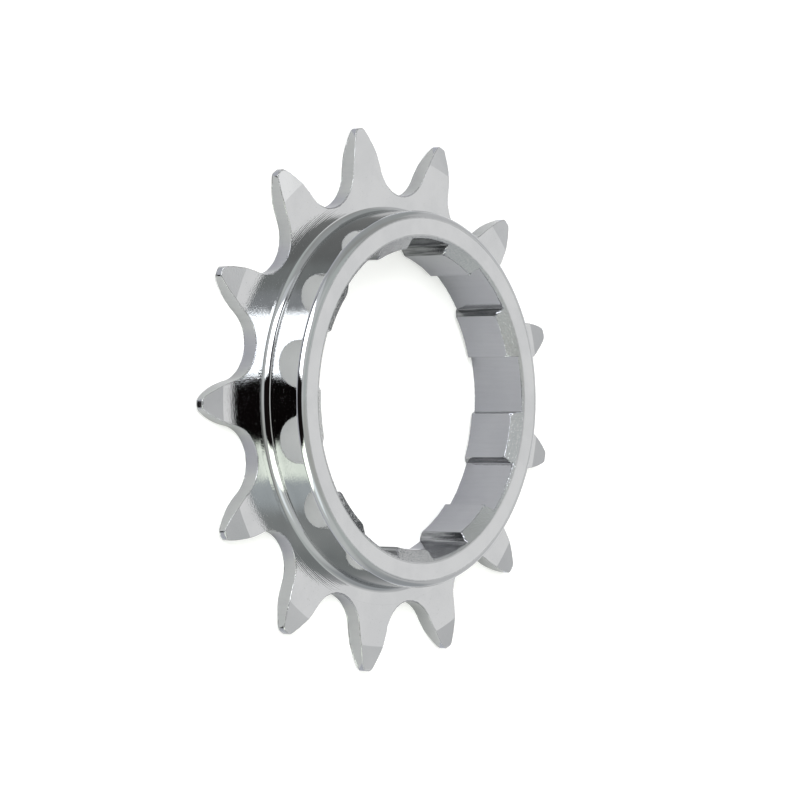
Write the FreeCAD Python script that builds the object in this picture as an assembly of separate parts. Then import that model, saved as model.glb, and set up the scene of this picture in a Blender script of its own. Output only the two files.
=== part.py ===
import FreeCAD, Part
import math
import os

# Tooth plate, mm. The plate's back face lies on z = 0 and the bore axis is +Z.
CHAIN_PITCH = 12.7
TOOTH_COUNT = 13
ROLLER_D = 7.75
ROLLER_CLEARANCE = 0.175
TIP_D = 59.6
TIP_WIDTH = 1.1
PLATE_T = 1.75

# Conical bevels that thin the tooth tips, turned on both faces.
BEVEL_START_D = 54.1
BEVEL_DEPTH = 0.45

# Collar standing on the front of the plate.
COLLAR_D = 41.0
TOTAL_H = 6.9
COLLAR_FILLET_R = 0.7
COLLAR_ROUND_R = 0.78

# Splined bore: lands that key into a hub body, with recesses between them.
LAND_COUNT = 9
LAND_BORE_D = 32.8
RECESS_BORE_D = 35.0
LAND_TOP_WIDTH = 5.05
LAND_ROOT_WIDTH = 5.95

# Conical chamfers that cut the ends of the lands. The angle is measured from the face.
FRONT_MOUTH_D = 35.6
BACK_MOUTH_D = 34.6
MOUTH_ANGLE = 30.0

# Sizes that follow from the ones above.
PITCH_R = CHAIN_PITCH / 2 / math.sin(math.pi / TOOTH_COUNT)
SEAT_R = ROLLER_D / 2 + ROLLER_CLEARANCE
FLANK_R = 0.12 * ROLLER_D * (TOOTH_COUNT + 2)
TIP_R = TIP_D / 2
COLLAR_R = COLLAR_D / 2
LAND_R = LAND_BORE_D / 2
RECESS_R = RECESS_BORE_D / 2
MARGIN = 1.0

UP = FreeCAD.Vector(0, 0, 1)


def at(radius, angle, z=0.0):
    """Point at a radius and an angle in radians about the bore axis."""
    return FreeCAD.Vector(radius * math.cos(angle), radius * math.sin(angle), z)


def arc_about(centre, radius, start, end):
    """Short arc round a centre, from one point to another."""
    middle = (start + end) * 0.5 - centre
    middle.normalize()
    return Part.Arc(start, centre + middle * radius, end).toShape()


def flank_points(gap_angle, side):
    """Roller seat's end, flank's middle and tip corner on one side of a tooth gap.

    The flank is a convex arc of FLANK_R. It leaves the roller seat tangentially and
    ends at the corner of the tooth tip, so its centre is one seat radius plus one
    flank radius from the seat's centre and one flank radius from the tip corner.
    """
    half_pitch = math.pi / TOOTH_COUNT
    tip_half_angle = math.asin(TIP_WIDTH / 2 / TIP_R)
    seat = at(PITCH_R, gap_angle)
    corner = at(TIP_R, gap_angle + side * (half_pitch - tip_half_angle))
    span = corner - seat
    distance = span.Length
    span.normalize()
    along = (distance ** 2 + (SEAT_R + FLANK_R) ** 2 - FLANK_R ** 2) / (2 * distance)
    across = math.sqrt((SEAT_R + FLANK_R) ** 2 - along ** 2)
    inward = UP.cross(span) * side
    flank_centre = seat + span * along + inward * across
    to_flank = flank_centre - seat
    to_flank.normalize()
    seat_end = seat + to_flank * SEAT_R
    middle = (seat_end + corner) * 0.5 - flank_centre
    middle.normalize()
    return seat_end, flank_centre + middle * FLANK_R, corner


def tooth_outline():
    """Closed outline of the toothed plate: roller seats, flanks and tip lands."""
    step = 2 * math.pi / TOOTH_COUNT
    edges = []
    for number in range(TOOTH_COUNT):
        tooth_angle = number * step
        gap_angle = tooth_angle + step / 2
        near_seat, near_middle, near_corner = flank_points(gap_angle, -1)
        far_seat, far_middle, far_corner = flank_points(gap_angle, 1)
        seat_floor = at(PITCH_R - SEAT_R, gap_angle)
        next_corner = flank_points(gap_angle + step, -1)[2]
        next_tip = at(TIP_R, tooth_angle + step)
        edges.append(Part.Arc(near_corner, near_middle, near_seat).toShape())
        edges.append(Part.Arc(near_seat, seat_floor, far_seat).toShape())
        edges.append(Part.Arc(far_seat, far_middle, far_corner).toShape())
        edges.append(Part.Arc(far_corner, next_tip, next_corner).toShape())
    return Part.Wire(edges)


def bore_outline():
    """Closed outline of the splined bore: land tops, slanted sides, recess floors."""
    step = 2 * math.pi / LAND_COUNT
    top_half = math.asin(LAND_TOP_WIDTH / 2 / LAND_R)
    root_half = math.asin(LAND_ROOT_WIDTH / 2 / RECESS_R)
    edges = []
    for number in range(LAND_COUNT):
        land_angle = (number + 0.5) * step
        root_start = at(RECESS_R, land_angle - root_half)
        top_start = at(LAND_R, land_angle - top_half)
        top_end = at(LAND_R, land_angle + top_half)
        root_end = at(RECESS_R, land_angle + root_half)
        recess_middle = at(RECESS_R, land_angle + step / 2)
        next_root = at(RECESS_R, land_angle + step - root_half)
        edges.append(Part.LineSegment(root_start, top_start).toShape())
        edges.append(Part.Arc(top_start, at(LAND_R, land_angle), top_end).toShape())
        edges.append(Part.LineSegment(top_end, root_end).toShape())
        edges.append(Part.Arc(root_end, recess_middle, next_root).toShape())
    return Part.Wire(edges)


def turned_body():
    """Plate, base fillet, collar and front rounding, turned as one solid disc."""
    slope = BEVEL_DEPTH / (TIP_R - BEVEL_START_D / 2)
    rim_r = TIP_R + MARGIN
    rim_drop = BEVEL_DEPTH + slope * MARGIN
    fillet_r = COLLAR_R + COLLAR_FILLET_R
    fillet_z = PLATE_T + COLLAR_FILLET_R
    round_r = COLLAR_R - COLLAR_ROUND_R
    round_z = TOTAL_H - COLLAR_ROUND_R

    def point(radius, z):
        return FreeCAD.Vector(radius, 0, z)

    fillet = arc_about(point(fillet_r, fillet_z), COLLAR_FILLET_R, point(fillet_r, PLATE_T), point(COLLAR_R, fillet_z))
    rounding = arc_about(point(round_r, round_z), COLLAR_ROUND_R, point(COLLAR_R, round_z), point(round_r, TOTAL_H))
    plate_side = Part.makePolygon([
        point(0, TOTAL_H),
        point(0, 0),
        point(BEVEL_START_D / 2, 0),
        point(rim_r, rim_drop),
        point(rim_r, PLATE_T - rim_drop),
        point(BEVEL_START_D / 2, PLATE_T),
        point(fillet_r, PLATE_T),
    ])
    collar_side = Part.LineSegment(point(COLLAR_R, fillet_z), point(COLLAR_R, round_z)).toShape()
    front = Part.LineSegment(point(round_r, TOTAL_H), point(0, TOTAL_H)).toShape()
    wire = Part.Wire(plate_side.Edges + [fillet, collar_side, rounding, front])
    return Part.Face(wire).revolve(FreeCAD.Vector(0, 0, 0), UP, 360)


def prism(wire, bottom, top):
    """Upright prism on a flat outline."""
    face = Part.Face(wire)
    face.translate(UP * bottom)
    return face.extrude(UP * (top - bottom))


def mouth_cone(mouth_d, face_z, direction):
    """Cone that chamfers the bore's mouth, widest a margin outside the face."""
    slope = math.tan(math.radians(MOUTH_ANGLE))
    inner_r = LAND_R - MARGIN
    outer_r = mouth_d / 2 + MARGIN
    depth = (mouth_d / 2 - inner_r) * slope
    height = (outer_r - inner_r) * slope
    base = FreeCAD.Vector(0, 0, face_z - direction * depth)
    return Part.makeCone(inner_r, outer_r, height, base, UP * direction)


def cog():
    """The whole cog: turned body, teeth, splined bore and its chamfered mouths."""
    body = turned_body().common(prism(tooth_outline(), -MARGIN, TOTAL_H + MARGIN))
    body = body.cut(prism(bore_outline(), -MARGIN, TOTAL_H + MARGIN))
    body = body.cut(mouth_cone(FRONT_MOUTH_D, TOTAL_H, 1))
    body = body.cut(mouth_cone(BACK_MOUTH_D, 0, -1))
    return body.Solids[0]


shape = cog()
os.makedirs("parts", exist_ok=True)
shape.exportStep("parts/cog.step")
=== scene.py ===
import math
from collections import namedtuple

import bpy
import numpy as np
from mathutils import Matrix


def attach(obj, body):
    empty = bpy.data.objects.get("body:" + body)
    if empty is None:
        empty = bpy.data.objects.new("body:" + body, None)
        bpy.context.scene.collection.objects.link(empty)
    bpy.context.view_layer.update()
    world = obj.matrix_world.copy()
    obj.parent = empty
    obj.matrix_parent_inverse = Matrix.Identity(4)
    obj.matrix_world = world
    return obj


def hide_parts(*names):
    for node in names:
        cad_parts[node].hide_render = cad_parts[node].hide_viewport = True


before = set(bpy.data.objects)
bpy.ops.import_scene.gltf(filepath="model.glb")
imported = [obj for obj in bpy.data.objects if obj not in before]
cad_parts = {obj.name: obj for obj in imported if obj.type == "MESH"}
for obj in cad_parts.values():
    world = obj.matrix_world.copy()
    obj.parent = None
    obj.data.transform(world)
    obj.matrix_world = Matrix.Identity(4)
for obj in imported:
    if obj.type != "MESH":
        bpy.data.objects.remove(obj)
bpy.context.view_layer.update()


# The cog is one piece of steel: a toothed plate with a collar standing on its
# front and a splined bore. It is turned from bar, the teeth are milled, the
# bore is broached, and the whole piece is chromed.

# Metres in a millimetre. The sizes below are in millimetres and radians.
MM = 0.001

# Teeth and plate.
CHAIN_PITCH = 12.7
TOOTH_COUNT = 13
PITCH_R = CHAIN_PITCH / 2 / math.sin(math.pi / TOOTH_COUNT)
SEAT_R = 4.05
FLANK_R = 13.95
TIP_R = 29.8
TIP_WIDTH = 1.1
TIP_CORNER_SOFTNESS = 0.15
PLATE_T = 1.75
BEVEL_START_R = 27.05
BEVEL_DEPTH = 0.45
BEVEL_SLOPE = BEVEL_DEPTH / (TIP_R - BEVEL_START_R)

# Collar, with a fillet at its foot and a rounding at its top.
COLLAR_R = 20.5
TOTAL_H = 6.9
FILLET_R = 0.7
FILLET_H = 0.67
FILLET_SWEEP = math.radians(72)
FILLET_TOP = PLATE_T + FILLET_H
ROUND_R = 0.78
ROUND_END = math.radians(14)
ARC_STEPS = 10

# Line that the tool left round the collar above the fillet, deepest at one bearing.
TOOL_LINE_DEPTH = 0.075
TOOL_LINE_LEDGE = 0.05
TOOL_LINE_H = 0.35
TOOL_LINE_BEARING = math.radians(54)
TOOL_LINE_FADE = 2.2
TOOL_LINE_LEAST = 0.08
TOOL_LINE_TO_EDGE = 0.07

# Splined bore, with a chamfered mouth at each end. A land's slanted side lies between
# two angles from its middle, and two of the lands have a scuffed chamfer.
LAND_COUNT = 9
LAND_R = 16.4
RECESS_R = 17.5
LAND_TOP_WIDTH = 5.05
LAND_ROOT_WIDTH = 5.95
LAND_CORNER_SOFTNESS = 0.035
LAND_SIDE_FROM = 0.1535
LAND_SIDE_TO = 0.1715
FRONT_MOUTH_R = 17.8
BACK_MOUTH_R = 17.3
MOUTH_SLOPE = math.tan(math.radians(30))
LIP_OUT = 0.04
LIP_IN = 0.03
BORE_TO_EDGE = 2.5
SCUFFED_LANDS = (math.radians(20), math.radians(100))

# Broken edges: least and greatest width, and how far a nick leans to the next face.
# The front mouth's edge is torn further back at the corners of the lands.
BACK_BREAK = (0.03, 0.12)
FRONT_BREAK = (0.02, 0.11)
MOUTH_BREAK = (0.015, 0.06)
TORN_CORNER_BREAK = (0.0, 0.38)
TORN_CORNER_ANGLE = 0.158
TORN_CORNER_SPREAD = 0.014
NICK_LEAN = (0.12, 0.88)
MOUTH_NICK_LEAN = (-0.25, 1.25)
EDGE_KNOTS = 1500
WORN_WIDTH = 0.3

# Mesh columns round the axis.
COLUMNS_PER_TOOTH = 130
COLUMNS_PER_LAND = 60
TOOTH_TURN_WEIGHT = 2.5
LAND_TURN_WEIGHT = 1.2
FINE_STEPS = 4000
ANGLE_DIGITS = 5


def fold(angle, count, centre):
    """Distance in radians from the nearest of count evenly spaced centres."""
    step = 2 * math.pi / count
    return np.abs((angle - centre + step / 2) % step - step / 2)


def soft_least(a, b, softness):
    """The smaller of two lengths, with the corner between them rounded off.

    It is minus the softness times the logarithm of the sum of exp(-length / softness).
    """
    return -softness * np.logaddexp(-a / softness, -b / softness)


def tooth_radius(angle):
    """Radius of the toothed outline at an angle about the bore axis.

    In a half tooth, measured from its middle, it is the tip circle, then a convex
    flank arc, then the concave roller seat. A ray from the axis meets an arc at its
    centre's projection on the ray, plus or minus the half chord.
    """
    half_pitch = math.pi / TOOTH_COUNT
    t = fold(angle, TOOTH_COUNT, 0)
    seat = PITCH_R * np.exp(1j * half_pitch)
    corner = TIP_R * np.exp(1j * math.asin(TIP_WIDTH / 2 / TIP_R))
    span = corner - seat
    distance = abs(span)
    span /= distance
    along = (distance ** 2 + (SEAT_R + FLANK_R) ** 2 - FLANK_R ** 2) / (2 * distance)
    across = math.sqrt((SEAT_R + FLANK_R) ** 2 - along ** 2)
    flank = seat + span * along - 1j * span * across
    seat_end = seat + (flank - seat) / abs(flank - seat) * SEAT_R

    ray = np.exp(1j * t)
    flank_on_ray = flank * ray.conj()
    flank_part = flank_on_ray.real + np.sqrt(np.maximum(FLANK_R ** 2 - flank_on_ray.imag ** 2, 0))
    seat_on_ray = seat * ray.conj()
    seat_part = seat_on_ray.real - np.sqrt(np.maximum(SEAT_R ** 2 - seat_on_ray.imag ** 2, 0))
    tooth_part = soft_least(np.full_like(t, TIP_R), flank_part, TIP_CORNER_SOFTNESS)
    return np.where(t < np.angle(seat_end), tooth_part, seat_part)


def bore_radius(angle):
    """Radius of the splined bore at an angle: land tops, slanted sides, recess floors.

    The slanted side is a straight line, and a ray meets it at the line's distance
    from the axis over the ray's share of the line's normal. Both corners are softened.
    """
    least_share = 0.05
    past_the_bore = 30.0
    t = fold(angle, LAND_COUNT, math.pi / LAND_COUNT)
    top = LAND_R * np.exp(1j * math.asin(LAND_TOP_WIDTH / 2 / LAND_R))
    root = RECESS_R * np.exp(1j * math.asin(LAND_ROOT_WIDTH / 2 / RECESS_R))
    normal = -1j * (root - top) / abs(root - top)
    distance = (top * normal.conjugate()).real
    share = np.maximum((np.exp(1j * t) * normal.conjugate()).real, least_share)
    side = np.minimum(distance / share, past_the_bore)
    kept = -soft_least(np.full_like(t, -LAND_R), -side, LAND_CORNER_SOFTNESS)
    return soft_least(np.full_like(t, RECESS_R), kept, LAND_CORNER_SOFTNESS)


def columns_along(radius_at, repeats, per_repeat, turn_weight):
    """Angles of the mesh columns, spread evenly over outline length plus turning."""
    fine = np.linspace(0, 2 * math.pi, repeats * FINE_STEPS + 1)
    point = radius_at(fine) * np.exp(1j * fine)
    step = np.diff(point)
    turning = np.abs(np.angle(step[1:] / step[:-1]))
    amount = np.abs(step) + turn_weight * np.append(turning, 0)
    run = np.append(0, np.cumsum(amount))
    wanted = np.linspace(0, run[-1], repeats * per_repeat + 1)[:-1]
    return np.interp(wanted, run, fine)


def outline_normal(radius_at, angle):
    """Outward horizontal normal of an outline given as a radius for each angle.

    It is the radius times the outward direction, less the radius's rate of change
    times the sideways direction, brought to length one.
    """
    nudge = 1e-5
    rate = (radius_at(angle + nudge) - radius_at(angle - nudge)) / (2 * nudge)
    turned = (radius_at(angle) - 1j * rate) * np.exp(1j * angle)
    turned /= np.abs(turned)
    return np.stack([turned.real, turned.imag, np.zeros_like(angle)], axis=1)


def ripple(angle, low, high, seed):
    """Uneven value along an edge: random values at evenly spaced knots, joined up."""
    values = np.random.default_rng(seed).uniform(low, high, EDGE_KNOTS)
    places = np.arange(EDGE_KNOTS) * 2 * math.pi / EDGE_KNOTS
    return np.interp(angle, places, values, period=2 * math.pi)


angles = np.unique(np.round(np.concatenate([
    columns_along(tooth_radius, TOOTH_COUNT, COLUMNS_PER_TOOTH, TOOTH_TURN_WEIGHT),
    columns_along(bore_radius, LAND_COUNT, COLUMNS_PER_LAND, LAND_TURN_WEIGHT),
]), ANGLE_DIGITS))
outward = np.stack([np.cos(angles), np.sin(angles), np.zeros_like(angles)], axis=1)
tooth_r = tooth_radius(angles)
bore_r = bore_radius(angles)
tooth_side = outline_normal(tooth_radius, angles)
bore_side = -outline_normal(bore_radius, angles)
from_land = fold(angles, LAND_COUNT, math.pi / LAND_COUNT)
at_corner = np.exp(-((from_land - TORN_CORNER_ANGLE) / TORN_CORNER_SPREAD) ** 2)
front_break = ripple(angles, *FRONT_BREAK, seed=11)
back_break = ripple(angles, *BACK_BREAK, seed=12)
mouth_break = ripple(angles, *MOUTH_BREAK, seed=13)
mouth_break += at_corner * ripple(angles, *TORN_CORNER_BREAK, seed=14)
front_lean = ripple(angles, *NICK_LEAN, seed=15)
back_lean = ripple(angles, *NICK_LEAN, seed=16)
mouth_lean = ripple(angles, *MOUTH_NICK_LEAN, seed=17)


def slant(radial, axial):
    """Unit normal of a turned surface, from its outward and upward parts."""
    turned = outward * np.reshape(radial, (-1, 1)) + np.reshape(axial, (-1, 1)) * np.array([0, 0, 1.0])
    return turned / np.linalg.norm(turned, axis=1, keepdims=True)


def arc_normal(half_width, half_height, turn):
    """Unit normal of an upright ellipse after a turn from its top.

    Its outward part is the half height times the sine of the turn, and its upward
    part is the half width times the cosine.
    """
    return slant(half_height * math.sin(turn), half_width * math.cos(turn))


def between(first, second, share):
    """Unit normal part of the way from one normal to another, column by column."""
    total = first + (second - first) * share[:, None]
    return total / np.linalg.norm(total, axis=1, keepdims=True)


def pick(condition, first, second):
    """One normal or the other for each column."""
    return np.where(condition[:, None], first, second)


def bevel_drop(radius):
    """How far the conical tooth bevel has fallen below the face at a radius."""
    return np.maximum(radius - BEVEL_START_R, 0) * BEVEL_SLOPE


# Normals of the faces. Where a bevel or a chamfer is narrower than a strip that
# is worth seeing, its columns take the flat face's normal.
LEAST_STRIP = 0.1
up_face = slant(0, 1)
down_face = slant(0, -1)
front_cone = slant(-MOUTH_SLOPE, 1)
on_bevel = tooth_r > BEVEL_START_R + LEAST_STRIP
front_bevel = pick(on_bevel, slant(BEVEL_SLOPE, 1), up_face)
back_bevel = pick(on_bevel, slant(BEVEL_SLOPE, -1), down_face)
back_cone = pick(bore_r < BACK_MOUTH_R - LEAST_STRIP, slant(-MOUTH_SLOPE, -1), down_face)
front_nick = between(front_bevel, tooth_side, front_lean)
back_nick = between(back_bevel, tooth_side, back_lean)
mouth_nick = between(front_cone, bore_side, mouth_lean)

# Finishes, one for each way that the surface was cut.
GROUND, BEVEL, GAP, ARC, WALL, END, MOUTH, BORE, SIDE, SCUFFED = range(10)
along_bore = np.where((from_land > LAND_SIDE_FROM) & (from_land < LAND_SIDE_TO), SIDE, BORE)
scuffed = [fold(angles, 1, bearing) < math.pi / LAND_COUNT / 2 for bearing in SCUFFED_LANDS]
along_mouth = np.where(np.any(scuffed, axis=0), SCUFFED, MOUTH)

# Each row of the profile: radius, height, normal of the strip that ends there,
# normal of the strip that starts there, distance to the nearest edge, and the
# finish of the strip that starts there.
Row = namedtuple("Row", ["radius", "height", "ending", "starting", "to_edge", "finish"])


def smooth_row(radius, height, normal, to_edge, finish):
    """Row where one strip runs on into the next, with one normal for both."""
    return Row(radius, height, normal, normal, to_edge, finish)


# Share of a broken edge's width by which its middle is cut back: a quarter circle's.
SQUARE = 1 - math.sqrt(0.5)

# The flat face ends at least this many edge widths inside the tooth outline.
CLEAR_BREAKS = 2.2


def back_rows():
    """Back mouth of the bore and back face of the plate, out to the tooth tips."""
    cone_z = np.maximum(BACK_MOUTH_R - bore_r, 0) * MOUTH_SLOPE
    cone_edge_z = np.maximum(BACK_MOUTH_R - bore_r - back_break, 0) * MOUTH_SLOPE
    bevel_start = np.minimum(BEVEL_START_R, tooth_r - CLEAR_BREAKS * back_break)
    bevel_end = tooth_r - back_break
    return [
        smooth_row(bore_r, cone_z + back_break, bore_side, 0, BORE),
        smooth_row(bore_r + back_break, cone_edge_z, back_cone, 0, MOUTH),
        Row(np.maximum(BACK_MOUTH_R, bore_r + 2 * back_break), 0, back_cone, down_face, 0, GROUND),
        Row(bevel_start, 0, down_face, back_bevel, tooth_r - bevel_start, BEVEL),
        smooth_row(bevel_end, bevel_drop(bevel_end), back_bevel, 0, GAP),
    ]


def tooth_rows():
    """Milled sides of the teeth, with the broken edge of each face."""
    drop = bevel_drop(tooth_r)
    half_t = PLATE_T / 2
    front_z = PLATE_T - drop
    return [
        smooth_row(tooth_r - SQUARE * back_break, drop + SQUARE * back_break, back_nick, 0, GAP),
        smooth_row(tooth_r, drop + back_break, tooth_side, 0, GAP),
        smooth_row(tooth_r, half_t, tooth_side, half_t - drop, GAP),
        smooth_row(tooth_r, front_z - front_break, tooth_side, 0, GAP),
        smooth_row(tooth_r - SQUARE * front_break, front_z - SQUARE * front_break, front_nick, 0, GAP),
    ]


def front_rows():
    """Front bevel of the teeth, in to the flat front face of the plate."""
    bevel_start = np.minimum(BEVEL_START_R, tooth_r - CLEAR_BREAKS * front_break)
    bevel_end = tooth_r - front_break
    return [
        smooth_row(bevel_end, PLATE_T - bevel_drop(bevel_end), front_bevel, 0, BEVEL),
        Row(bevel_start, PLATE_T, front_bevel, up_face, tooth_r - bevel_start, GROUND),
    ]


def fillet_rows():
    """Fillet at the collar's foot, up to the tool's line: part of a hollow ellipse.

    It comes in from its foot by the half width times the sine of the turn, and rises
    by the half height times one less the cosine. The tool's line starts at its end.
    """
    foot_r = COLLAR_R + FILLET_R
    half_width = FILLET_R / math.sin(FILLET_SWEEP)
    half_height = FILLET_H / (1 - math.cos(FILLET_SWEEP))
    rows = []
    for turn in np.linspace(0, FILLET_SWEEP, ARC_STEPS + 1):
        radius = foot_r - half_width * math.sin(turn)
        height = PLATE_T + half_height * (1 - math.cos(turn))
        normal = arc_normal(half_width, half_height, turn)
        rows.append(smooth_row(radius, height, normal, tooth_r - foot_r, ARC))
    return rows


def tool_line_rows(fillet_normal):
    """Line round the collar above the fillet: a small ledge in, then a wall out again.

    Its depth is greatest at one bearing, and falls with one less the cosine of the
    angle from there until little of it is left.
    """
    fade = 1 - TOOL_LINE_FADE * (1 - np.cos(angles - TOOL_LINE_BEARING))
    share = np.clip(fade, TOOL_LINE_LEAST, 1)
    depth = TOOL_LINE_DEPTH * share
    ledge = TOOL_LINE_LEDGE * share
    ledge_up = slant(ledge, depth)
    wall = slant(TOOL_LINE_H - ledge, -depth)
    return [
        Row(COLLAR_R, FILLET_TOP, fillet_normal, ledge_up, TOOL_LINE_TO_EDGE, ARC),
        Row(COLLAR_R - depth, FILLET_TOP + ledge, ledge_up, wall, TOOL_LINE_TO_EDGE, WALL),
        Row(COLLAR_R, FILLET_TOP + TOOL_LINE_H, wall, outward, TOOL_LINE_TO_EDGE, WALL),
    ]


def rounding_rows():
    """Rounding from the collar's wall to its end: part of a standing ellipse.

    It goes in from the wall by the half width times one less the sine of the turn,
    and rises by the half height times the cosine. It stops a little short of level,
    so that it meets the flat end at an edge.
    """
    half_width = ROUND_R / (1 - math.sin(ROUND_END))
    half_height = ROUND_R / math.cos(ROUND_END)
    rows = []
    for turn in np.linspace(math.pi / 2, ROUND_END, ARC_STEPS + 1):
        radius = COLLAR_R - half_width * (1 - math.sin(turn))
        height = TOTAL_H - half_height * (math.cos(ROUND_END) - math.cos(turn))
        normal = arc_normal(half_width, half_height, turn)
        rows.append(smooth_row(radius, height, normal, ROUND_R * (turn - ROUND_END), ARC))
    rows[-1] = rows[-1]._replace(starting=up_face, finish=END)
    return rows


def end_rows():
    """Flat end of the collar, in to the broken lip of the front mouth."""
    return [
        smooth_row(COLLAR_R - ROUND_R - WORN_WIDTH, TOTAL_H, up_face, WORN_WIDTH, END),
        smooth_row(FRONT_MOUTH_R + LIP_OUT + WORN_WIDTH, TOTAL_H, up_face, WORN_WIDTH, END),
        smooth_row(FRONT_MOUTH_R + LIP_OUT, TOTAL_H, up_face, 0, END),
    ]


def bore_rows():
    """Chamfered front mouth with its torn corners, and the bore down to its middle."""
    break_z = TOTAL_H - (FRONT_MOUTH_R - bore_r - mouth_break) * MOUTH_SLOPE
    bore_z = TOTAL_H - (FRONT_MOUTH_R - bore_r) * MOUTH_SLOPE - mouth_break
    return [
        smooth_row(FRONT_MOUTH_R - LIP_IN, TOTAL_H - LIP_IN * MOUTH_SLOPE, front_cone, 0, along_mouth),
        Row(bore_r + mouth_break, break_z, front_cone, mouth_nick, 0, BORE),
        Row(bore_r, bore_z, mouth_nick, bore_side, 0, along_bore),
        smooth_row(bore_r, TOTAL_H / 2, bore_side, BORE_TO_EDGE, along_bore),
    ]


def ring_mesh(name, profile):
    """Closed ring-shaped mesh: every profile row taken round every column angle.

    A vertex is its row's radius times the column's outward direction, plus its height.
    The last row joins the first and the last column joins the first. Each face corner
    keeps the exact normal of the strip it belongs to.
    """
    rows = len(profile)
    columns = len(angles)

    def spread(field):
        """One field of every row, with a value for every column."""
        return np.stack([np.broadcast_to(getattr(row, field), columns) for row in profile])

    starting = np.stack([row.starting for row in profile])
    ending = np.roll(np.stack([row.ending for row in profile]), -1, axis=0)
    points = spread("radius")[..., None] * outward[None] + spread("height")[..., None] * np.array([0, 0, 1.0])
    here = np.arange(rows * columns).reshape(rows, columns)
    next_row = np.roll(here, -1, axis=0)
    beside = np.roll(here, -1, axis=1)
    next_beside = np.roll(next_row, -1, axis=1)
    quads = np.stack([here, beside, next_beside, next_row], axis=-1).reshape(-1, 4)
    normals = np.stack([
        starting, np.roll(starting, -1, axis=1), np.roll(ending, -1, axis=1), ending], axis=2)
    mesh = bpy.data.meshes.new(name)
    mesh.from_pydata((points.reshape(-1, 3) * MM).tolist(), [], quads.tolist())
    mesh.polygons.foreach_set("use_smooth", np.ones(len(quads), bool))
    mesh.polygons.foreach_set("material_index", spread("finish").ravel().astype(np.int32))
    reach = mesh.attributes.new("edge_distance", "FLOAT", "POINT")
    reach.data.foreach_set("value", spread("to_edge").ravel().astype(np.float32))
    mesh.update()
    mesh.normals_split_custom_set(normals.reshape(-1, 3).tolist())
    return mesh


fillet = fillet_rows()
profile = back_rows() + tooth_rows() + front_rows() + fillet[:-1] + tool_line_rows(fillet[-1].ending)
profile += rounding_rows() + end_rows() + bore_rows()
cog = bpy.data.objects.new("chromed_cog", ring_mesh("chromed_cog", profile))
bpy.context.scene.collection.objects.link(cog)


class Nodes:
    """Short way to add and join shader nodes in an emptied tree."""

    def __init__(self, tree):
        self.tree = tree
        tree.nodes.clear()

    def add(self, kind, inputs=(), **settings):
        """Adds a node, sets its properties, then fills or links its inputs by name or place."""
        node = self.tree.nodes.new(kind)
        for key, value in settings.items():
            setattr(node, key, value)
        for key, value in dict(inputs).items():
            if isinstance(value, bpy.types.NodeSocket):
                self.tree.links.new(value, node.inputs[key])
            else:
                node.inputs[key].default_value = value
        return node

    def math(self, operation, *values):
        """Result of a Math node."""
        return self.add("ShaderNodeMath", enumerate(values), operation=operation).outputs[0]

    def step(self, value, low, high, start=0.0, end=1.0):
        """Smooth step of a value between two limits, from a start to an end."""
        node = self.add("ShaderNodeMapRange", {0: value, 1: low, 2: high, 3: start, 4: end},
                        interpolation_type="SMOOTHSTEP")
        return node.outputs[0]

    def mix(self, share, first, second):
        """Blend of two colours, by a share that is kept between 0 and 1."""
        node = self.add("ShaderNodeMix", {0: share, 6: first, 7: second}, data_type="RGBA")
        return node.outputs[2]

    def noise(self, vector, scale, detail=2.0, roughness=0.5):
        """Value of a noise texture, about 0.5 on average."""
        node = self.add("ShaderNodeTexNoise", {
            "Vector": vector, "Scale": scale, "Detail": detail, "Roughness": roughness})
        return node.outputs["Fac"]


CHROME = (0.417, 0.421, 0.424, 1)
CHROME_DIM = (0.393, 0.398, 0.402, 1)
CHROME_WORN = (0.47, 0.472, 0.472, 1)
# Dark colour mixed into streaks along the bore axis.
STREAK_DARK = (0.040, 0.044, 0.050, 1)
# Painted shade: the dark blue that darkens the bore and the bottoms of the tooth gaps.
PAINTED_SHADE = (0.10, 0.09, 0.20, 1)

# Relief. Noise scales are for places in mm, and pairs are the limits of a smooth step.
PIT_SCALE = 6.5
PIT_PEAKS = (0.76, 0.79)
NICK_SCALE = 6.0
NICK_WIDTH = 0.1
NICK_HEIGHT = 0.050
RING_WAVE = 31.0
RING_WOBBLE = 0.3
RING_WOBBLE_SCALE = 2.3
RINGS_START = (21.4, 22.6)
RINGS_FADE = (22.2, 24.6)
RINGS_LEAST = 0.1
GRAIN_CALMED = (21.6, 24.0)
GRAIN_LEAST = 0.3
BAND_SCALE = 14.0
STROKE_SCALE = 4.0
STROKE_STRETCH = 0.06

# Colour and roughness.
DRIFT_SCALE = 0.22
TINT_DRIFT = (0.35, 0.65)
ROUGHNESS_DRIFT = (0.3, 0.7)
SMOOTHEST = 0.7
ROUGHEST = 1.3
WEAR_SCALE = 3.1
WEAR_TINT = 0.5
WEAR_ROUGHNESS = 0.06
STREAK_SCALE = 3.2
STREAK_LIMITS = (0.38, 0.62)
# Radii over which the painted shade at the bottoms of the tooth gaps fades out.
GULLET_SHADE_RADII = (22.4, 23.6)


def turned_rings(nodes, height, radius, mark_height):
    """Fine turned rings on a surface's height, just outside the fillet.

    They are the sine of the radius plus a slow wobble. They rise from the fillet and
    fade outwards, and the grain is calmed where they are.
    """
    along = nodes.add("ShaderNodeCombineXYZ", {0: radius}).outputs[0]
    slow = nodes.noise(along, RING_WOBBLE_SCALE, detail=3.0, roughness=0.7)
    wobble = nodes.math("MULTIPLY", slow, RING_WOBBLE)
    wave = nodes.math("SINE", nodes.math("MULTIPLY", nodes.math("ADD", radius, wobble), RING_WAVE))
    near = nodes.math("MULTIPLY", nodes.step(radius, *RINGS_FADE, mark_height, 0.0),
                      nodes.step(radius, *RINGS_START, RINGS_LEAST, 1.0))
    calmed = nodes.math("MULTIPLY", height, nodes.step(radius, *GRAIN_CALMED, GRAIN_LEAST, 1.0))
    return nodes.math("ADD", calmed, nodes.math("MULTIPLY", wave, near))


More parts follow.
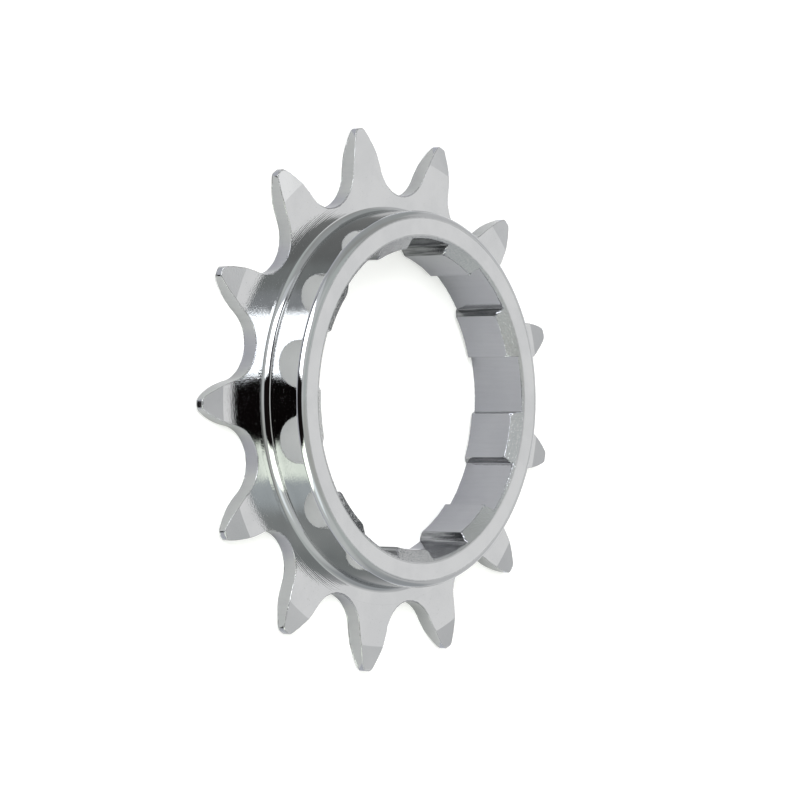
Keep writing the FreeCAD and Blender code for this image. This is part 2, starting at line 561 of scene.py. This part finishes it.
def turned_bands(nodes, height, radius, z, mark_height):
    """Turned bands on a surface's height: noise of the radius and the height alone."""
    across = nodes.add("ShaderNodeCombineXYZ", {0: radius, 1: z}).outputs[0]
    return nodes.math("ADD", height, nodes.math("MULTIPLY", nodes.noise(across, BAND_SCALE), mark_height))


def axial_strokes(nodes, height, stretched, mark_height):
    """Cutter's strokes on a surface's height: noise of a place stretched along the axis."""
    strokes = nodes.noise(stretched, STROKE_SCALE, detail=4.0, roughness=0.65)
    return nodes.math("ADD", height, nodes.math("MULTIPLY", strokes, mark_height))


def chrome(name, grain, grain_height, pit_height, tool_marks, mark_height, roughness,
           streaking=0.0, shade_all_over=0.0, gullet_shade=0.0):
    """Chrome over a machined surface.

    Heights are in mm. The grain is fine noise, the pits are the rare peaks of another
    noise, and the tool marks follow the way the surface was cut. Colour and roughness
    drift slowly over the piece, and edges are nicked and worn a little brighter. The
    streaking share darkens streaks along the bore axis, and above 1 it covers most of the surface.
    The next two shares are painted shade: one darkens the whole surface, and the
    other adds more towards the bottoms of the tooth gaps.
    """
    material = bpy.data.materials.new(name)
    material.use_nodes = True
    nodes = Nodes(material.node_tree)
    place = nodes.add("ShaderNodeTexCoord").outputs["Object"]
    mm = nodes.add("ShaderNodeMapping", {"Vector": place, "Scale": (1 / MM, 1 / MM, 1 / MM)}).outputs[0]
    stretched = nodes.add("ShaderNodeMapping", {"Vector": mm, "Scale": (1, 1, STROKE_STRETCH)}).outputs[0]
    x, y, z = nodes.add("ShaderNodeSeparateXYZ", {0: mm}).outputs
    radius = nodes.math("SQRT", nodes.math("ADD", nodes.math("MULTIPLY", x, x), nodes.math("MULTIPLY", y, y)))
    reach = nodes.add("ShaderNodeAttribute", attribute_name="edge_distance").outputs["Fac"]

    fine = nodes.math("MULTIPLY", nodes.noise(mm, grain), grain_height)
    peaks = nodes.step(nodes.noise(mm, PIT_SCALE, detail=1.0), *PIT_PEAKS)
    pits = nodes.math("MULTIPLY", peaks, pit_height)
    height = nodes.math("ADD", fine, pits)
    if tool_marks == "rings":
        height = turned_rings(nodes, height, radius, mark_height)
    elif tool_marks == "bands":
        height = turned_bands(nodes, height, radius, z, mark_height)
    elif tool_marks == "axial":
        height = axial_strokes(nodes, height, stretched, mark_height)
    nicks = nodes.math("MULTIPLY", nodes.noise(mm, NICK_SCALE, detail=1.0),
                       nodes.step(reach, 0.0, NICK_WIDTH, NICK_HEIGHT, 0.0))
    height = nodes.math("ADD", height, nicks)
    bump = nodes.add("ShaderNodeBump", {"Height": height, "Strength": 1.0, "Distance": MM})

    drift = nodes.noise(mm, DRIFT_SCALE, detail=3.0, roughness=0.55)
    wear = nodes.math("MULTIPLY", nodes.step(reach, 0.0, WORN_WIDTH, 1.0, 0.0), nodes.noise(mm, WEAR_SCALE))
    colour = nodes.mix(nodes.step(drift, *TINT_DRIFT), CHROME, CHROME_DIM)
    colour = nodes.mix(nodes.math("MULTIPLY", wear, WEAR_TINT), colour, CHROME_WORN)
    if streaking:
        streaks = nodes.noise(stretched, STREAK_SCALE, detail=3.0, roughness=0.6)
        streak = nodes.step(streaks, *STREAK_LIMITS, 0.0, streaking)
        colour = nodes.mix(streak, colour, STREAK_DARK)
    # Painted shade: darker all over by one share, and darker still towards the bottoms of the tooth gaps.
    if shade_all_over or gullet_shade:
        colour = nodes.mix(nodes.step(radius, *GULLET_SHADE_RADII, shade_all_over + gullet_shade, shade_all_over), colour, PAINTED_SHADE)
    drifting = nodes.step(drift, *ROUGHNESS_DRIFT, roughness * SMOOTHEST, roughness * ROUGHEST)
    rough = nodes.math("ADD", drifting, nodes.math("MULTIPLY", wear, WEAR_ROUGHNESS))
    shader = nodes.add("ShaderNodeBsdfPrincipled", {
        "Base Color": colour, "Metallic": 1.0, "Roughness": rough, "Normal": bump.outputs[0]})
    nodes.add("ShaderNodeOutputMaterial", {"Surface": shader.outputs[0]})
    return material


finishes = {
    GROUND: chrome("chrome_on_ground_face", grain=6.5, grain_height=0.0090, pit_height=0.0100,
                   tool_marks="rings", mark_height=0.0023, roughness=0.03),
    BEVEL: chrome("chrome_on_tip_bevel", grain=5.5, grain_height=0.0050, pit_height=0.0050,
                  tool_marks="bands", mark_height=0.0003, roughness=0.06),
    # The milled gaps are darkened with painted shade towards the bottoms of the gaps.
    GAP: chrome("chrome_on_milled_gap", grain=4.0, grain_height=0.0070, pit_height=0.0040,
                tool_marks="axial", mark_height=0.005, roughness=0.13, streaking=0.03, gullet_shade=0.22),
    ARC: chrome("chrome_on_turned_arc", grain=9.0, grain_height=0.0015, pit_height=0.0010,
                tool_marks="bands", mark_height=0.0022, roughness=0.03),
    WALL: chrome("chrome_on_collar_wall", grain=9.0, grain_height=0.0018, pit_height=0.0030,
                 tool_marks="bands", mark_height=0.0002, roughness=0.02),
    END: chrome("chrome_on_collar_end", grain=6.5, grain_height=0.0040, pit_height=0.0030,
                tool_marks="bands", mark_height=0.0006, roughness=0.07),
    MOUTH: chrome("chrome_on_bore_mouth", grain=6.0, grain_height=0.0040, pit_height=0.0030,
                  tool_marks="bands", mark_height=0.0008, roughness=0.10),
    # The bore is darkened all over with painted shade.
    BORE: chrome("chrome_on_broached_bore", grain=5.0, grain_height=0.0030, pit_height=0.0030,
                 tool_marks="axial", mark_height=0.004, roughness=0.12, streaking=0.03, shade_all_over=0.18),
    SIDE: chrome("chrome_on_land_side", grain=5.0, grain_height=0.0060, pit_height=0.0030,
                 tool_marks="axial", mark_height=0.016, roughness=0.15, streaking=0.62),
    SCUFFED: chrome("chrome_on_scuffed_mouth", grain=5.0, grain_height=0.0080, pit_height=0.0060,
                    tool_marks="axial", mark_height=0.020, roughness=0.18, streaking=3.0),
}
for finish in sorted(finishes):
    cog.data.materials.append(finishes[finish])
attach(cog, "root")
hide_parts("cog")


# The table is a pale matt sheet that the cog lies on. It takes the cog's soft
# shadow, and the chrome mirrors the part of it that is close by.

TABLE_HALF = 3.0
TABLE_Z = -0.00002
MIRRORED_R = 0.0303
SHEET = (0.80, 0.785, 0.77, 1)

# Glow of the sheet where it is seen, and the little that is left where chrome mirrors it.
SEEN_GLOW = 0.33
MIRRORED_GLOW = 0.03
MIRRORED_TINT = (0.80, 0.90, 1.20, 1)

corners = [(-TABLE_HALF, -TABLE_HALF), (TABLE_HALF, -TABLE_HALF),
           (TABLE_HALF, TABLE_HALF), (-TABLE_HALF, TABLE_HALF)]
table_mesh = bpy.data.meshes.new("table")
table_mesh.from_pydata([(x, y, TABLE_Z) for x, y in corners], [], [(0, 1, 2, 3)])
table = bpy.data.objects.new("table", table_mesh)
bpy.context.scene.collection.objects.link(table)
table_finish = bpy.data.materials.new("matt_sheet")
table_finish.use_nodes = True
nodes = Nodes(table_finish.node_tree)
rays = nodes.add("ShaderNodeLightPath")
mirror_ray = nodes.math("MAXIMUM", rays.outputs["Is Glossy Ray"], rays.outputs["Is Transmission Ray"])
place = nodes.add("ShaderNodeTexCoord").outputs["Object"]
distance = nodes.add("ShaderNodeVectorMath", {0: place}, operation="LENGTH").outputs["Value"]
beyond = nodes.math("MULTIPLY", mirror_ray, nodes.math("GREATER_THAN", distance, MIRRORED_R))
sheet = nodes.add("ShaderNodeBsdfDiffuse", {"Color": SHEET})
seen = nodes.add("ShaderNodeEmission", {
    "Color": (1, 1, 1, 1), "Strength": nodes.math("MULTIPLY", rays.outputs["Is Camera Ray"], SEEN_GLOW)})
mirrored = nodes.add("ShaderNodeEmission", {
    "Color": MIRRORED_TINT, "Strength": nodes.math("MULTIPLY", mirror_ray, MIRRORED_GLOW)})
glow = nodes.add("ShaderNodeAddShader", {0: seen.outputs[0], 1: mirrored.outputs[0]})
lit = nodes.add("ShaderNodeAddShader", {0: sheet.outputs[0], 1: glow.outputs[0]})
clear = nodes.add("ShaderNodeBsdfTransparent")
surface = nodes.add("ShaderNodeMixShader", {0: beyond, 1: lit.outputs[0], 2: clear.outputs[0]})
nodes.add("ShaderNodeOutputMaterial", {"Surface": surface.outputs[0]})
table.data.materials.append(table_finish)


# The studio is a white surround with soft boxes and flags at fixed directions
# about the cog, because chrome shows nothing but what stands round it.

# Bearing of the studio's front about the bore axis, from +X, in degrees.
STUDIO_FRONT = 54.15

# Light of the bare surround below and above a soft step in elevation.
LOWER_WALL = (0.70, 0.72, 0.72, 1)
UPPER_WALL = (0.84, 0.90, 0.88, 1)
WALL_STEP = (25, 55)

# Each panel: bearing from the studio's front and half width, lowest and highest
# elevation, softness of its sides and of its ends, all in degrees, then its light.
PANELS = [
    ("pale wall below", -72, 32, -20, 62, 12, 10, (1.04, 1.08, 1.06)),
    ("bright end of the wall", -58, 14, 24, 50, 6, 6, (1.75, 1.87, 1.90)),
    ("grey ceiling below", -90, 80, 62, 110, 20, 10, (0.78, 0.79, 0.75)),
    ("pale ceiling above", 45, 60, 56, 80, 20, 6, (1.04, 1.06, 1.07)),
    ("table light below", 0, 181, -95, -8, 8, 8, (0.90, 0.92, 1.00)),
    ("white wall opposite", 180, 40, -30, 42, 5, 3, (0.96, 0.97, 0.98)),
    ("lighter end of the wall", 167, 7, 15, 34, 3, 4, (1.12, 1.13, 1.14)),
    ("pale end of the wall", -159, 7, 32, 54, 4, 3, (1.14, 1.15, 1.15)),
    ("pale ceiling opposite", 180, 25, 55, 75, 6, 3, (0.96, 0.97, 0.98)),
    ("dim side above", 114, 24, -12, 30, 4, 5, (0.64, 0.67, 0.67)),
    ("dim corner above", 122, 30, 30, 47, 5, 4, (0.61, 0.62, 0.61)),
    ("dim side below", -127, 17, -12, 30, 5, 5, (0.62, 0.65, 0.67)),
    ("white card opposite", 172, 20, 32, 56, 4, 5, (1.44, 1.44, 1.44)),
    ("card's bright corner", 158.5, 5, 45, 52, 2, 2, (1.75, 1.75, 1.75)),
    ("soft box above", 35, 22, 9, 52, 2, 4, (8.0, 8.2, 8.4)),
    ("edge of the soft box", 62, 8, 8, 52, 3, 4, (1.10, 1.14, 1.18)),
    ("gap under the soft box", 34, 23, -14, 7, 3, 4, (0.24, 0.24, 0.26)),
    ("soft box below", -37, 13, -6, 47, 2, 3, (4.1, 4.35, 3.85)),
    ("end of the soft box", -37, 13, -30, -7, 3, 3, (0.72, 0.76, 0.72)),
    ("table beyond the tip", -6.5, 20, -30, -16, 2, 3, (0.90, 0.92, 1.00)),
    ("black flag", -6.5, 20.5, -13, 58, 3, 5, (0.012, 0.009, 0.009)),
    ("black flag's foot", -6.5, 19.5, -70, -32, 1.5, 3, (0.012, 0.009, 0.009)),
]

world = bpy.data.worlds.new("studio")
bpy.context.scene.world = world
world.use_nodes = True
nodes = Nodes(world.node_tree)
direction = nodes.add("ShaderNodeTexCoord").outputs["Generated"]
x, y, z = nodes.add("ShaderNodeSeparateXYZ", {0: direction}).outputs
elevation = nodes.math("DEGREES", nodes.math("ARCSINE", z))
bearing = nodes.math("SUBTRACT", STUDIO_FRONT, nodes.math("DEGREES", nodes.math("ARCTAN2", y, x)))
light = nodes.mix(nodes.step(elevation, *WALL_STEP), LOWER_WALL, UPPER_WALL)
for name, centre, half_width, low, high, side_soft, end_soft, colour in PANELS:
    turn = nodes.math("WRAP", nodes.math("SUBTRACT", bearing, centre), 180, -180)
    across = nodes.step(nodes.math("ABSOLUTE", turn), half_width - side_soft, half_width + side_soft, 1, 0)
    above = nodes.step(elevation, low - end_soft, low + end_soft)
    under = nodes.step(elevation, high - end_soft, high + end_soft, 1, 0)
    share = nodes.math("MULTIPLY", across, nodes.math("MULTIPLY", above, under))
    light = nodes.mix(share, light, (*colour, 1))
    light.node.label = name
seen_white = nodes.add("ShaderNodeLightPath").outputs["Is Camera Ray"]
light = nodes.mix(seen_white, light, (1, 1, 1, 1))
background = nodes.add("ShaderNodeBackground", {"Color": light, "Strength": 1.0})
nodes.add("ShaderNodeOutputWorld", {"Surface": background.outputs[0]})


# The camera has a long lens and looks down on the cog from its front left. It
# is rolled so that the bore axis runs to the right of the picture.

LENS = 177.548
SENSOR_WIDTH = 36.0
EYE = (0.193072, 0.272058, 0.276306)
RIGHT = (-0.3708128, -0.51320007, 0.77403072)
UP = (0.81343613, -0.58164014, 0.00404993)
BACK = (0.44812892, 0.63112632, 0.63313509)

camera = bpy.data.objects.new("camera", bpy.data.cameras.new("camera"))
camera.data.sensor_width = SENSOR_WIDTH
camera.data.lens = LENS
camera.matrix_world = Matrix([*zip(RIGHT, UP, BACK, EYE), (0, 0, 0, 1)])
bpy.context.scene.collection.objects.link(camera)
bpy.context.scene.camera = camera
bpy.context.scene.view_settings.view_transform = "Standard"
